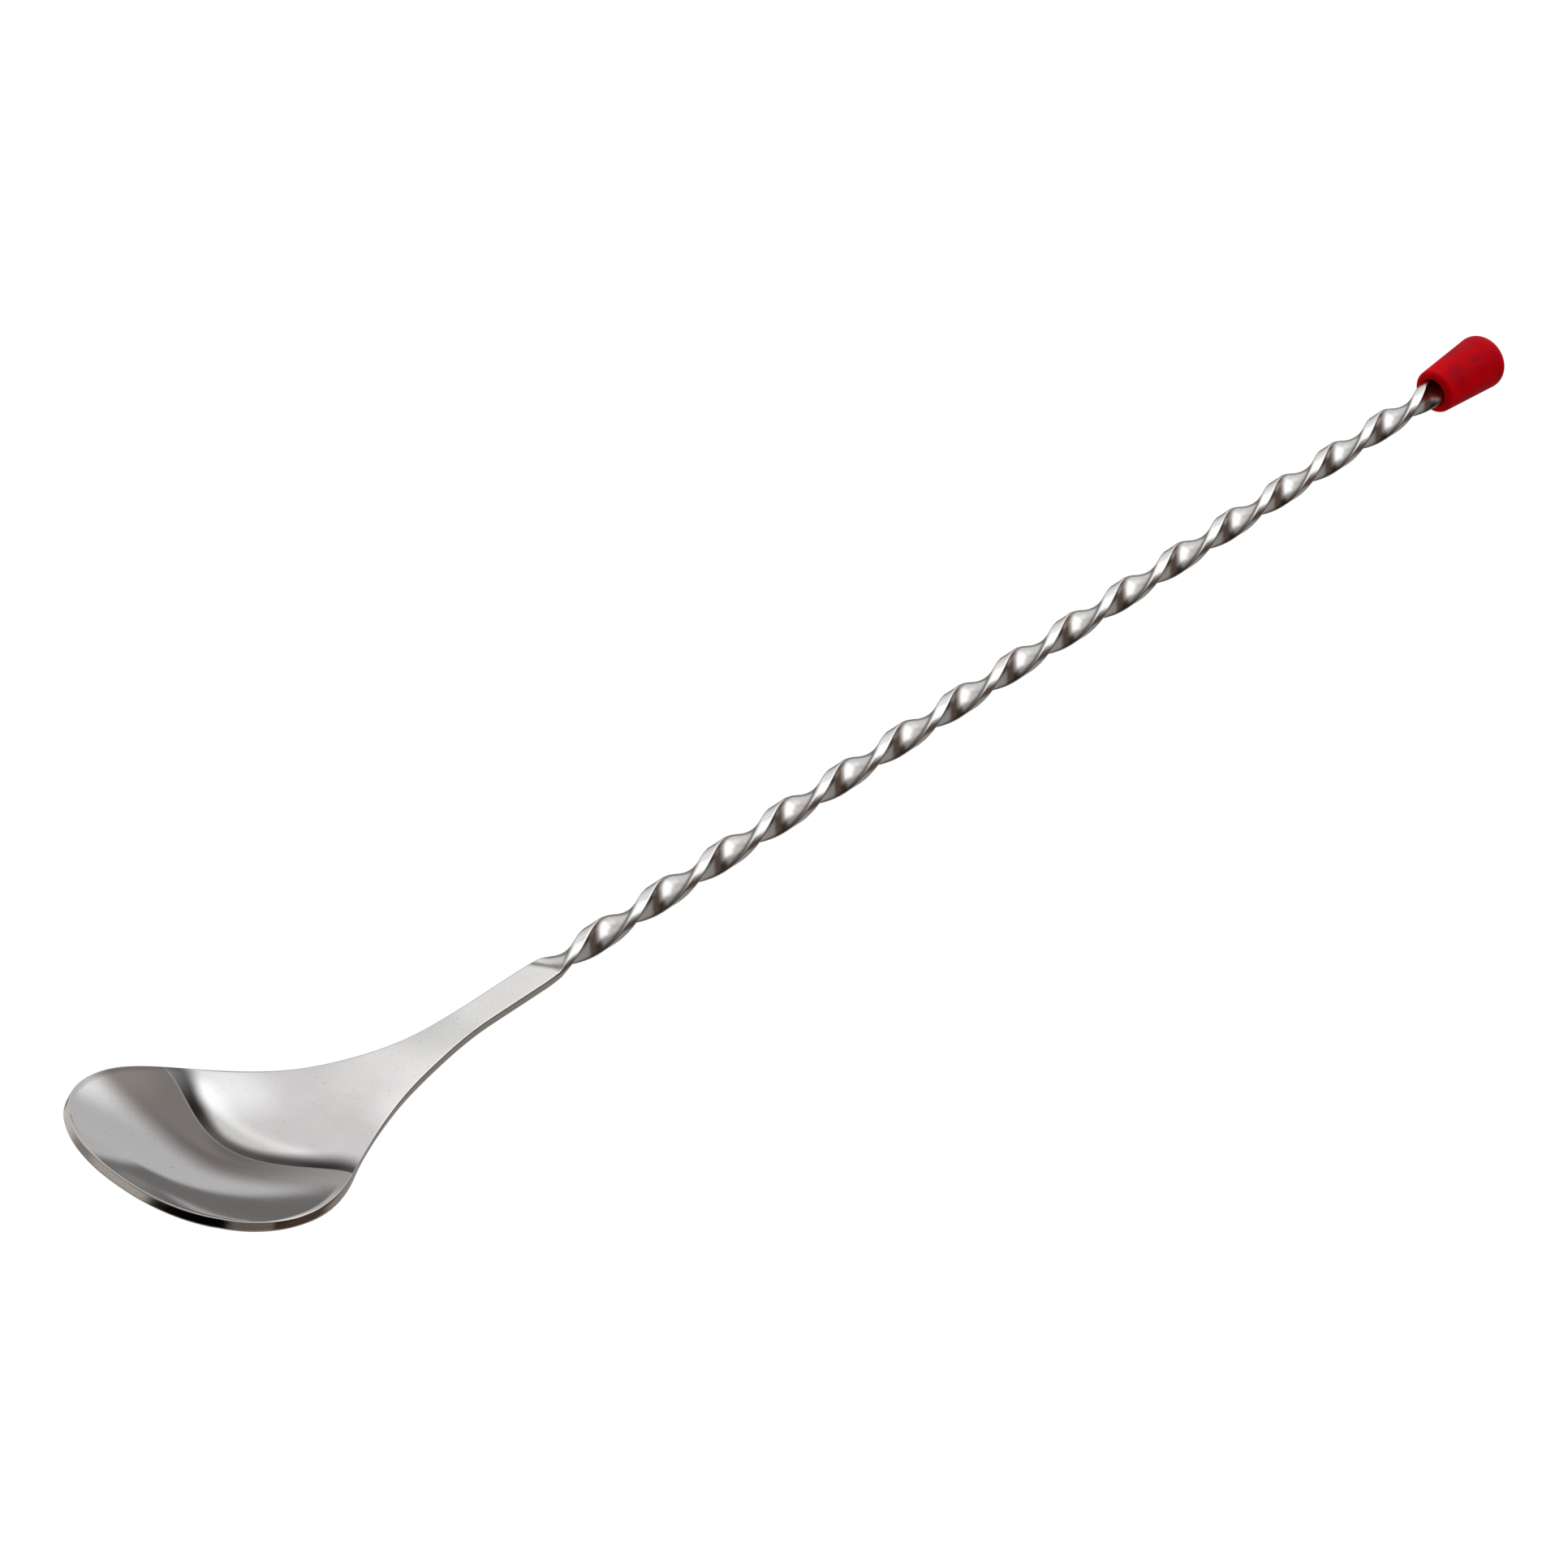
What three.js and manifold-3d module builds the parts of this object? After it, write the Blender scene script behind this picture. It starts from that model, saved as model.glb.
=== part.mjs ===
// Twisted bar spoon: one stamped and twisted steel blank, and a push-on soft plastic end cap.
// Millimetres. +X runs along the handle to the cap, +Z is the open side of the bowl.
// The origin is in the middle of the flat underside of the neck.
import * as THREE from "three";
import { mergeVertices } from "three/addons/utils/BufferGeometryUtils.js";
import Module from "manifold-3d";

// Sheet and handle
const SHEET = 1.3; // thickness of the neck and bowl
const AXIS_Z = SHEET / 2; // the handle axis runs in the middle of the neck
const STRIP_WIDTH = 4.0; // flat strip before it is twisted
const STRIP_THICKNESS = 1.68;
const STRIP_CORNER = 0.35; // rolled corner of the strip
const HALF_TURN = 12.12; // handle length that takes half a turn of twist
const TWIST_START = 6.2; // where the strip leaves the flat neck
const TWIST_EASE = 0.8; // length over which the twist picks up its full rate
const JOIN_STEP = 0.06; // how much thinner the strip is than the neck where it leaves it
const THICKENING = 5; // length over which the strip grows from the neck's thickness to its own

// Neck and bowl, seen from above: a straight neck, a flare, then a blunt rounded nose
const NECK_HALF = 2.25;
const FLARE_START = -6;
const BOWL_CENTRE = -55; // the widest place
const BOWL_HALF = 19.8;
const BOWL_NOSE = 13.3; // from the widest place to the tip
const NOSE_POWER = 2.2; // 2 would make the nose half an ellipse, more makes it blunter
const FLARE_PULL_NECK = 28.4; // how far the flare curve keeps the neck's direction
const FLARE_PULL_BOWL = 10.8;
const NOSE_CORNER = 0.8; // angle, in radians, where the side rim turns into the front rim
const RIM_CORNER = 0.2; // broken edge of the rim

// Crease between the neck tongue and the bowl floor
const CREASE_RIM_X = -45.0; // where the crease meets the side rims, on average
const CREASE_CENTRE_X = -50.6;
// The left end of the crease sits this far forward along the rim and its right end this far back.
const CREASE_SKEW = 2.0;
// 1 would make the crease an even bow; more brings it to a point in the middle.
const CREASE_POINT = 1.6;
const BOW_START = -19; // the cross lines of the sheet are straight behind this
const SKEW_START = 0.35; // share of the way from the neck to the crease where the skew begins

// Height of the bowl's top face above the flat neck's, as [x, rise], along the side rim and down the middle
const RIM_RISES = [
  [-8, 0],
  [-17, -0.25],
  [-26, 0.2],
  [-33, 1.0],
  [-43, 3.8],
  [-53, 7.35],
  [-65, 9.9],
];
const TONGUE_RISES = [
  [-8, 0],
  [-18, -0.2],
  [-27, 0.4],
  [-36, 1.65],
  [-43, 3.15],
  [-46.5, 3.85],
  [-49, 3.85],
  [CREASE_CENTRE_X, 3.5],
];
const FLOOR_RISES = [
  [CREASE_CENTRE_X, 3.5],
  [-52.5, 3.55],
  [-55, 4.1],
  [-60, 5.65],
  [-64.5, 7.75],
  [-68.1, 10.1],
];

// End cap
const CAP_MOUTH_X = 197.8;
const CAP_LENGTH = 14.0;
const CAP_MOUTH_RADIUS = 3.47;
const CAP_END_RADIUS = 4.3;
const CAP_END_CORNER = 2.2;
const CAP_MOUTH_CORNER = 0.8; // rounding of the outside at the mouth
const BORE_CHAMFER = 0.3; // lead-in of the bore
const BORE_MOUTH_RADIUS = 2.2;
const BORE_END_RADIUS = 2.1;
const BORE_DEPTH = 10.2;
const STRIP_END_GAP = 0.4; // free depth left in the bore past the end of the strip

// Mesh density
const BOWL_STATIONS_BACK = 22;
const BOWL_STATIONS_FRONT = 14;
const BOWL_COLUMNS = 16;
const STRIP_STATIONS_PER_HALF_TURN = 11;
const STRIP_COLUMNS = 4;
const CAP_SEGMENTS = 40;
const CORNER_STEPS = 4;

const wasm = await Module();
wasm.setup();

// A smooth curve through [x, rise] pairs, asked for a rise by x.
function riseCurve(pairs) {
  const points = pairs.map(([x, rise]) => new THREE.Vector2(x, rise));
  const samples = new THREE.SplineCurve(points).getPoints(200);
  return (x) => {
    if (x >= samples[0].x) return samples[0].y;
    const k = samples.findIndex((p) => p.x <= x);
    if (k < 0) return samples[samples.length - 1].y;
    const [a, b] = [samples[k - 1], samples[k]];
    return a.y + ((b.y - a.y) * (x - a.x)) / (b.x - a.x);
  };
}

// Edge of the flat faces, one broken edge inside the outline, on the left-hand side:
// from the end of the neck to the nose corner, then the front rim.
const NECK_FLAT = NECK_HALF - RIM_CORNER;
const BOWL_FLAT = BOWL_HALF - RIM_CORNER;
const NOSE_FLAT = BOWL_NOSE - RIM_CORNER;
const TIP_X = BOWL_CENTRE - NOSE_FLAT;
const flare = new THREE.CubicBezierCurve(
  new THREE.Vector2(FLARE_START, NECK_FLAT),
  new THREE.Vector2(FLARE_START - FLARE_PULL_NECK, NECK_FLAT),
  new THREE.Vector2(BOWL_CENTRE + FLARE_PULL_BOWL, BOWL_FLAT),
  new THREE.Vector2(BOWL_CENTRE, BOWL_FLAT),
);
function nosePoint(angle) {
  const forward = Math.sin(angle) ** (2 / NOSE_POWER);
  const across = Math.abs(Math.cos(angle)) ** (2 / NOSE_POWER);
  return new THREE.Vector2(BOWL_CENTRE - NOSE_FLAT * forward, BOWL_FLAT * across);
}
class NoseSide extends THREE.Curve {
  getPoint(t) {
    return nosePoint(t * NOSE_CORNER);
  }
}
const sideRim = new THREE.CurvePath();
const neckEnd = new THREE.Vector2(TWIST_START - RIM_CORNER, NECK_FLAT);
sideRim.add(new THREE.LineCurve(neckEnd, new THREE.Vector2(FLARE_START, NECK_FLAT)));
sideRim.add(flare);
sideRim.add(new NoseSide());

// Share of the side rim's length at which it reaches a given x.
function shareAtX(x) {
  let [low, high] = [0, 1];
  for (let k = 0; k < 40; k++) {
    const middle = (low + high) / 2;
    if (sideRim.getPointAt(middle).x > x) low = middle;
    else high = middle;
  }
  return low;
}
const CREASE_SHARE = shareAtX(CREASE_RIM_X);
const noseCorner = nosePoint(NOSE_CORNER);

// Front rim at v, from -1 on one nose corner through the tip to 1 on the other.
function frontRim(v) {
  const point = nosePoint(Math.PI / 2 - Math.abs(v) * (Math.PI / 2 - NOSE_CORNER));
  return new THREE.Vector2(point.x, point.y * Math.sign(v));
}

const rimRise = riseCurve(RIM_RISES);
const tongueRise = riseCurve(TONGUE_RISES);
const floorRise = riseCurve(FLOOR_RISES);

// How far the cross line that starts at x on the side rim bulges towards the tip.
function bowAt(x) {
  const creaseBow = CREASE_RIM_X - CREASE_CENTRE_X;
  if (x > CREASE_RIM_X) return creaseBow * THREE.MathUtils.smoothstep(-x, -BOW_START, -CREASE_RIM_X);
  const share = (x - CREASE_RIM_X) / (noseCorner.x - CREASE_RIM_X);
  return THREE.MathUtils.lerp(creaseBow, noseCorner.x - TIP_X, share);
}

// Station shares of the side rim, from the nose corner back to the end of the neck.
const stations = [];
for (let k = 0; k < BOWL_STATIONS_FRONT; k++)
  stations.push(THREE.MathUtils.lerp(1, CREASE_SHARE, k / BOWL_STATIONS_FRONT));
for (let k = 0; k <= BOWL_STATIONS_BACK; k++)
  stations.push(THREE.MathUtils.lerp(CREASE_SHARE, 0, k / BOWL_STATIONS_BACK));

// Share of the side rim's length at which a cross line ends, given how far across it is, from -1 to 1.
const RIM_LENGTH = sideRim.getLength();
function rimShare(station, across) {
  const share = stations[station];
  const ahead = THREE.MathUtils.smoothstep(share, CREASE_SHARE, 1);
  const behind = 1 - THREE.MathUtils.smoothstep(share, CREASE_SHARE * SKEW_START, CREASE_SHARE);
  const skew = (CREASE_SKEW / RIM_LENGTH) * (1 - ahead) * (1 - behind);
  return share + skew * across;
}

// Top face of the bowl and neck: station number from the nose, v across from -1 to 1.
function bowlPoint(station, v) {
  const front = frontRim(v);
  const across = front.y / noseCorner.y;
  const middle = sideRim.getPointAt(stations[station]);
  const rim = sideRim.getPointAt(rimShare(station, across));
  const bow = bowAt(middle.x);
  const centre = station < BOWL_STATIONS_FRONT ? floorRise(middle.x - bow) : tongueRise(middle.x - bow);
  const rise = THREE.MathUtils.lerp(centre, rimRise(rim.x), across * across);
  const frontBulge = (noseCorner.x - front.x) / (noseCorner.x - TIP_X);
  const creaseBulge = Math.max(0, 1 - across * across) ** CREASE_POINT;
  const ahead = THREE.MathUtils.smoothstep(stations[station], CREASE_SHARE, 1);
  const bulge = THREE.MathUtils.lerp(creaseBulge, frontBulge, ahead);
  return new THREE.Vector3(rim.x - bow * bulge, rim.y * across, SHEET + rise);
}

// Upward normal of the top face at every grid point, so that the sheet is equally thick on its slopes.
const bowlGrid = new THREE.PlaneGeometry(1, 1, stations.length - 1, BOWL_COLUMNS);
for (let k = 0; k < bowlGrid.attributes.position.count; k++) {
  const station = k % stations.length;
  const v = 1 - (2 * Math.floor(k / stations.length)) / BOWL_COLUMNS;
  bowlGrid.attributes.position.setXYZ(k, ...bowlPoint(station, v));
}
bowlGrid.computeVertexNormals();
function bowlUp(station, v) {
  const row = Math.round(((1 - v) / 2) * BOWL_COLUMNS);
  return new THREE.Vector3().fromBufferAttribute(bowlGrid.attributes.normal, row * stations.length + station);
}

// Outward direction of the bowl's edge, seen from above.
function bowlOutward(station, v) {
  if (station === 0) {
    const [before, after] = [frontRim(v - 0.01), frontRim(v + 0.01)];
    return new THREE.Vector3(before.y - after.y, after.x - before.x, 0).normalize();
  }
  if (station === stations.length - 1 && Math.abs(v) < 1) return new THREE.Vector3(1, 0, 0);
  const tangent = sideRim.getTangentAt(rimShare(station, Math.sign(v)));
  return new THREE.Vector3(tangent.y, -tangent.x * Math.sign(v), 0).normalize();
}
const bowlSheet = {
  stations: stations.length - 1,
  columns: BOWL_COLUMNS,
  point: bowlPoint,
  outward: bowlOutward,
  up: bowlUp,
  thickness: () => SHEET,
  above: () => 0,
  corner: RIM_CORNER,
  cornerSteps: 1,
};

// Twist angle of the handle at x: left-handed, so it turns against the right-hand rule about +X.
function twistAngle(x) {
  const run = Math.max(0, x - TWIST_START);
  const eased = run < TWIST_EASE ? (run * run) / (2 * TWIST_EASE) : run - TWIST_EASE / 2;
  return (-Math.PI * eased) / HALF_TURN;
}
const STRIP_STEP = HALF_TURN / STRIP_STATIONS_PER_HALF_TURN;
const STRIP_START_X = TWIST_START - 2 * STRIP_STEP; // runs two steps into the neck, to join it
const STRIP_STATIONS = Math.floor((CAP_MOUTH_X + BORE_DEPTH - STRIP_END_GAP - STRIP_START_X) / STRIP_STEP);
const stripX = (station) => STRIP_START_X + station * STRIP_STEP;

function stripAcross(station) {
  const angle = twistAngle(stripX(station));
  return new THREE.Vector3(0, Math.cos(angle), Math.sin(angle));
}
function stripPoint(station, v) {
  const half = STRIP_WIDTH / 2 - STRIP_CORNER;
  return new THREE.Vector3(stripX(station), 0, AXIS_Z).addScaledVector(stripAcross(station), half * v);
}
function stripThickness(station) {
  const share = THREE.MathUtils.smoothstep(stripX(station), TWIST_START, TWIST_START + THICKENING);
  return THREE.MathUtils.lerp(SHEET - JOIN_STEP, STRIP_THICKNESS, share);
}
function stripOutward(station, v) {
  if (Math.abs(v) < 1) return new THREE.Vector3(station === 0 ? -1 : 1, 0, 0);
  return stripAcross(station).multiplyScalar(Math.sign(v));
}
const stripSheet = {
  stations: STRIP_STATIONS,
  columns: STRIP_COLUMNS,
  point: stripPoint,
  outward: stripOutward,
  up: (station) => new THREE.Vector3(1, 0, 0).cross(stripAcross(station)),
  thickness: stripThickness,
  above: (station) => stripThickness(station) / 2,
  corner: STRIP_CORNER,
  cornerSteps: 2,
};

// Turns a sheet into a closed solid with a rounded edge round its border. The sheet's points lie on a
// reference surface, which its top face stands above by a given distance.
// A box grid is folded onto the sheet: its length runs along the stations, its width across.
function sheetSolid({ stations: along, columns, point, outward, up, thickness, above, corner, cornerSteps }) {
  const layers = 2 * cornerSteps + 1;
  const box = new THREE.BoxGeometry(1, 1, 1, along, columns, layers);
  const position = box.attributes.position;
  for (let k = 0; k < position.count; k++) {
    const station = Math.round((position.getX(k) + 0.5) * along);
    const v = 2 * position.getY(k);
    const layer = Math.round((position.getZ(k) + 0.5) * layers);
    const turn = ((Math.PI / 2) * Math.min(layer, layers - layer)) / cornerSteps;
    const fromFace = corner * (1 - Math.cos(turn));
    const onTop = layer > layers / 2;
    const offset = above(station) - (onTop ? fromFace : thickness(station) - fromFace);
    const normal = up(station, v);
    const placed = point(station, v).addScaledVector(normal, offset);
    if (station === 0 || station === along || Math.abs(v) === 1) {
      const edge = outward(station, v).projectOnPlane(normal).normalize();
      placed.addScaledVector(edge, corner * Math.sin(turn));
    }
    position.setXYZ(k, placed.x, placed.y, placed.z);
  }
  return box;
}

// Conversions between three.js geometry and manifold-3d solids, for joins.
function toManifold(geometry) {
  const plain = new THREE.BufferGeometry();
  plain.setAttribute("position", geometry.toNonIndexed().attributes.position);
  const merged = mergeVertices(plain, 1e-4);
  const mesh = new wasm.Mesh({
    numProp: 3,
    vertProperties: merged.attributes.position.array,
    triVerts: new Uint32Array(merged.index.array),
  });
  return new wasm.Manifold(mesh);
}
function fromManifold(solid) {
  const mesh = solid.getMesh();
  const geometry = new THREE.BufferGeometry();
  geometry.setAttribute("position", new THREE.BufferAttribute(mesh.vertProperties, mesh.numProp));
  geometry.setIndex(new THREE.BufferAttribute(mesh.triVerts, 1));
  geometry.computeVertexNormals();
  return geometry;
}

function spoonBlank() {
  const joined = toManifold(sheetSolid(bowlSheet)).add(toManifold(sheetSolid(stripSheet)));
  const geometry = fromManifold(joined);
  const material = new THREE.MeshStandardMaterial({ color: 0xc4c2bf, roughness: 0.25, metalness: 1 });
  return new THREE.Mesh(geometry, material);
}

// The cap is turned: up its blind bore, over the lip, along the outside and round the far end.
function endCap() {
  const arc = (x, r, radius, from, to) =>
    new THREE.EllipseCurve(x, r, radius, radius, from, to, to < from).getPoints(CORNER_STEPS);
  const end = CAP_MOUTH_X + CAP_LENGTH;
  const mouthCentre = CAP_MOUTH_RADIUS - CAP_MOUTH_CORNER;
  const profile = [
    new THREE.Vector2(CAP_MOUTH_X + BORE_DEPTH, 0),
    new THREE.Vector2(CAP_MOUTH_X + BORE_DEPTH, BORE_END_RADIUS),
    new THREE.Vector2(CAP_MOUTH_X + BORE_CHAMFER, BORE_MOUTH_RADIUS),
    new THREE.Vector2(CAP_MOUTH_X, BORE_MOUTH_RADIUS + BORE_CHAMFER),
    ...arc(CAP_MOUTH_X + CAP_MOUTH_CORNER, mouthCentre, CAP_MOUTH_CORNER, Math.PI, Math.PI / 2),
    ...arc(end - CAP_END_CORNER, CAP_END_RADIUS - CAP_END_CORNER, CAP_END_CORNER, Math.PI / 2, 0),
    new THREE.Vector2(end, 0),
  ];
  const turned = new THREE.LatheGeometry(
    profile.map((p) => new THREE.Vector2(p.y, p.x)),
    CAP_SEGMENTS,
  );
  turned.rotateZ(-Math.PI / 2);
  turned.translate(0, 0, AXIS_Z);
  const material = new THREE.MeshStandardMaterial({ color: 0xb8061a, roughness: 0.45, metalness: 0 });
  return new THREE.Mesh(turned, material);
}

const spoon = new THREE.Group();
const parts = { spoon_blank: spoonBlank(), end_cap: endCap() };
for (const [name, mesh] of Object.entries(parts)) {
  mesh.name = name;
  spoon.add(mesh);
}

export default spoon;
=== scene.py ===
"""Looks for the twisted bar spoon: one polish-finished steel blank and a red soft-plastic end cap."""

import math
from types import SimpleNamespace

import bpy
import numpy as np
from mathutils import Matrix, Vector


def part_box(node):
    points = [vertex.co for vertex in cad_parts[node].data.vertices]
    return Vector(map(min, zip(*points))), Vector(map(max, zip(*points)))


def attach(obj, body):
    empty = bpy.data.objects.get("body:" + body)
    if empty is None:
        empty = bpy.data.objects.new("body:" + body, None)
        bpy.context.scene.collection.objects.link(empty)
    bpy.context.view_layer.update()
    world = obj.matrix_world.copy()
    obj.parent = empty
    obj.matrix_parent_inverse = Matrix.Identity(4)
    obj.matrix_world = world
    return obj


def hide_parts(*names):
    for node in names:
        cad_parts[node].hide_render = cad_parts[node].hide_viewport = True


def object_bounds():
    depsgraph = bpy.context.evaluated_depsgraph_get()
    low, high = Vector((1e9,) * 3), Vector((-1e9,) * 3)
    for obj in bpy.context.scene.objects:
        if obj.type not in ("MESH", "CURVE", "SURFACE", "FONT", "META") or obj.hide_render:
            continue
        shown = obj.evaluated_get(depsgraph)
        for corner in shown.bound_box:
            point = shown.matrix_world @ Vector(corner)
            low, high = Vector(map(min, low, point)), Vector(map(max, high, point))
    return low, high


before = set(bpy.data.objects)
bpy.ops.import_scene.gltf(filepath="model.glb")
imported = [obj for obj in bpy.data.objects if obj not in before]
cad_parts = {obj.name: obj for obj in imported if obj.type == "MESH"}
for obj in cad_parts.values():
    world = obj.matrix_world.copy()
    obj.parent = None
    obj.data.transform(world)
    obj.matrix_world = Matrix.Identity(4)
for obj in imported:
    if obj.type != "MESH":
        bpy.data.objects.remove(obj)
CAD_LOW, CAD_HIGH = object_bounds()

# Shapes are worked out in millimetres and scaled by MM when a mesh is made.
MM = 0.001
PER_METRE = 1000
BLANK_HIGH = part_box("spoon_blank")[1] * PER_METRE
CAP_LOW, CAP_HIGH = [corner * PER_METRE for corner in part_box("end_cap")]

# Sheet and handle
SHEET = 1.3  # thickness of the neck and bowl
AXIS_Z = (CAP_LOW.z + CAP_HIGH.z) / 2
STRIP_WIDTH = 4.0  # flat strip before it is twisted
STRIP_THICKNESS = 1.68
STRIP_CORNER = 0.32  # rolled corner of the strip
STRIP_CROWN = 0.06  # how far the strip's narrow sides bulge between their corners
STRIP_END_X = BLANK_HIGH.x
HALF_TURN = 12.12  # handle length that takes half a turn of twist
TWIST_START = 6.2  # where the strip leaves the flat neck
TWIST_EASE = 0.8  # length over which the twist picks up its full rate
THICKENING = 5.0  # length over which the strip grows from the neck's thickness to its own
NARROWING = 3.0  # the neck narrows to the strip's width from this far before TWIST_START to this far past it

# Neck and bowl, seen from above: a straight neck, a flare, then a blunt rounded nose
NECK_HALF = 2.25
FLARE_START = -6.0
BOWL_HALF = 19.8
BOWL_CENTRE = -55.0  # the widest place
BOWL_NOSE = 13.3  # from the widest place to the tip
NOSE_POWER = 2.2  # 2 would make the nose half an ellipse, more makes it blunter
FLARE_PULL_NECK = 28.4  # how far the flare curve keeps the neck's direction
FLARE_PULL_BOWL = 10.8
NOSE_CORNER = 0.8  # angle, in radians, where the side rim turns into the front rim
RIM_CORNER = 0.2  # broken edge of the rim

# Crease between the neck tongue and the bowl floor
CREASE_RIM_X = -45.0  # where the crease meets the side rims, on average
CREASE_CENTRE_X = -50.6
CREASE_SKEW = 2.0  # the crease's left end sits this far forward along the rim, its right end this far back
CREASE_POINT = 1.6  # 1 would make the crease an even bow; more brings it to a point in the middle
SKEW_START = 0.35  # share of the way from the neck to the crease where the skew begins
BOW_START = -19.0  # the cross lines of the sheet are straight behind this

# Height of the top face above the flat neck's, as (x, rise), along the rim and down the middle
RIM_RISES = [(-8, 0), (-17, -0.25), (-26, 0.2), (-33, 1.0), (-43, 3.8), (-53, 7.35), (-65, 9.9)]
TONGUE_RISES = [
    (-8, 0),
    (-18, -0.2),
    (-27, 0.4),
    (-36, 1.65),
    (-43, 3.15),
    (-46.5, 3.85),
    (-49, 3.85),
    (CREASE_CENTRE_X, 3.5),
]
FLOOR_RISES = [(CREASE_CENTRE_X, 3.5), (-52.5, 3.55), (-55, 4.1), (-60, 5.65), (-64.5, 7.75), (-68.1, 10.1)]

# Painted light and shade of the steel: its darker and brighter places. Shares run across the bowl, from -1
# at its right rim (-Y) to 1 at its left rim (+Y).
# Painted dark reflection, a dark band of the floor just beyond the crease
BAND_END_X = -55.8  # where it fades out, in the middle and on the left
BAND_FADE = 2.2  # half the length of that fade
BAND_RIGHT_SHIFT = 7.0  # how much sooner it fades out at the right rim
BAND_RIGHT_LOSS = 0.6  # how much weaker it is at the right rim

# Painted shade: a dark fringe of the tongue along the crease
FRINGE_WIDTH = 1.7
FRINGE_DEPTH = 0.8
FRINGE_CORE = 0.3  # share of the width over which the fringe keeps its full depth
RIGHT_SPOT_PLACE = -0.6  # a wider, deeper and softer spot of the fringe
RIGHT_SPOT_SPREAD = 0.3
RIGHT_SPOT_WIDENING = 1.5
RIGHT_SPOT_DEEPENING = 0.18
RIGHT_SPOT_CORE_LOSS = 0.2
LEFT_HALF_SPAN = (0.1, 0.45)  # shares between which the fringe changes to its form on the left
LEFT_HALF_WIDENING = 0.5
LEFT_HALF_DEEPENING = 0.18
LEFT_END_SPAN = (0.5, 0.85)  # shares between which it widens again towards the left rim
LEFT_END_WIDENING = 1.1
LEFT_END_FADING = 0.2  # loss of depth beside the crease there
FRINGE_BELOW = 0.4  # how much of the fringe shows on the underside

# Painted shade: dark margins of the strip's faces, and a dark fold where it turns out of the neck
MARGIN_START = 0.62  # share of the strip's half width
MARGIN_DEPTH = 0.8
MARGIN_RUN_IN = 3.0  # length over which the margins appear
FOLD_AHEAD = -0.1  # middle of the fold past TWIST_START
FOLD_SLANT = 1.3  # how far the fold's ends lie ahead of its middle and behind it
FOLD_WIDTH = 0.5
FOLD_DEPTH = 0.75

# Painted highlight, a painted reflection of the brightest light on the tongue: centre and half size along x
# and y
PATCH_PLACE = (-42.5, 9.5)
PATCH_HALF = (5.5, 6.5)
PATCH_EDGE = 1.5  # 1 would be a plain bell shape, more makes the patch flatter with a quicker edge

# Length before and past TWIST_START over which the finish changes from the neck's to the twist's
TWIST_FINISH = (1.0, 2.0)

# End cap
CAP_MOUTH_X = CAP_LOW.x
CAP_END_X = CAP_HIGH.x
CAP_MOUTH_RADIUS = 3.47
CAP_END_RADIUS = CAP_HIGH.y
CAP_END_CORNER = 2.2
CAP_MOUTH_CORNER = 0.8  # rounding of the outside at the mouth
BORE_CHAMFER = 0.3  # rounding of the bore at both ends
BORE_MOUTH_RADIUS = 2.2
BORE_END_RADIUS = 2.1
BORE_DEPTH = 10.2

# Mesh density
RIM_SAMPLES = 600  # points on each stretch of the side rim's outline
FLOOR_STATIONS = 64
TONGUE_STATIONS = 150
COLUMNS = 32
STATIONS_PER_HALF_TURN = 26
CORNER_STEPS = 3
WALL_STEPS = 6
CORNER_BLOCK = (5, 2)  # rows and columns at a nose corner whose normals come from further in
NOSE_STATIONS = 40  # border stations, from the nose back, whose up directions are evened out
NOSE_REACH = 4  # neighbours on each side that take part in it
CAP_SEGMENTS = 96
BORE_STEPS = 7
CAP_SIDE_STEPS = 11
END_CORNER_STEPS = 14
MOUTH_CORNER_STEPS = 10
BORE_MOUTH_STEPS = 5
BORE_END_STEPS = 4


# ---------------------------------------------------------------- curves of the blank
def smooth_curve(pairs, level_end=False):
    """A twice-smooth curve through (x, rise) pairs; level_end makes it level at the largest x."""
    xs, ys = np.array(sorted(pairs), float).T
    steps = np.diff(xs)
    count = len(xs)
    system = np.zeros((count, count))
    wanted = np.zeros(count)
    system[0, 0] = system[-1, -1] = 1
    for k in range(1, count - 1):
        system[k, k - 1 : k + 2] = steps[k - 1], 2 * (steps[k - 1] + steps[k]), steps[k]
        wanted[k] = 6 * ((ys[k + 1] - ys[k]) / steps[k] - (ys[k] - ys[k - 1]) / steps[k - 1])
    if level_end:
        system[-1, -2:] = steps[-1], 2 * steps[-1]
        wanted[-1] = -6 * (ys[-1] - ys[-2]) / steps[-1]
    bends = np.linalg.solve(system, wanted)

    def value(x):
        x = np.clip(x, xs[0], xs[-1])
        k = np.clip(np.searchsorted(xs, x, side="right") - 1, 0, count - 2)
        u = (x - xs[k]) / steps[k]
        w = 1 - u
        curved = (w**3 - w) * bends[k] + (u**3 - u) * bends[k + 1]
        return w * ys[k] + u * ys[k + 1] + steps[k] ** 2 / 6 * curved

    return value


def smoothstep(low, high, x):
    t = np.clip((x - low) / (high - low), 0, 1)
    return t * t * (3 - 2 * t)


def unit(vectors):
    return vectors / np.maximum(np.linalg.norm(vectors, axis=-1, keepdims=True), 1e-12)


# The flat faces end one broken edge inside the outline.
NECK_FLAT = NECK_HALF - RIM_CORNER
BOWL_FLAT = BOWL_HALF - RIM_CORNER
NOSE_FLAT = BOWL_NOSE - RIM_CORNER
TIP_X = BOWL_CENTRE - NOSE_FLAT


def nose_point(angle):
    forward = np.sin(angle) ** (2 / NOSE_POWER)
    across = np.abs(np.cos(angle)) ** (2 / NOSE_POWER)
    return np.stack([BOWL_CENTRE - NOSE_FLAT * forward, BOWL_FLAT * across], axis=-1)


def narrowed(x):
    """Share of the way from the neck's section to the twisted strip's section."""
    return smoothstep(TWIST_START - NARROWING, TWIST_START + NARROWING, x)


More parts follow.
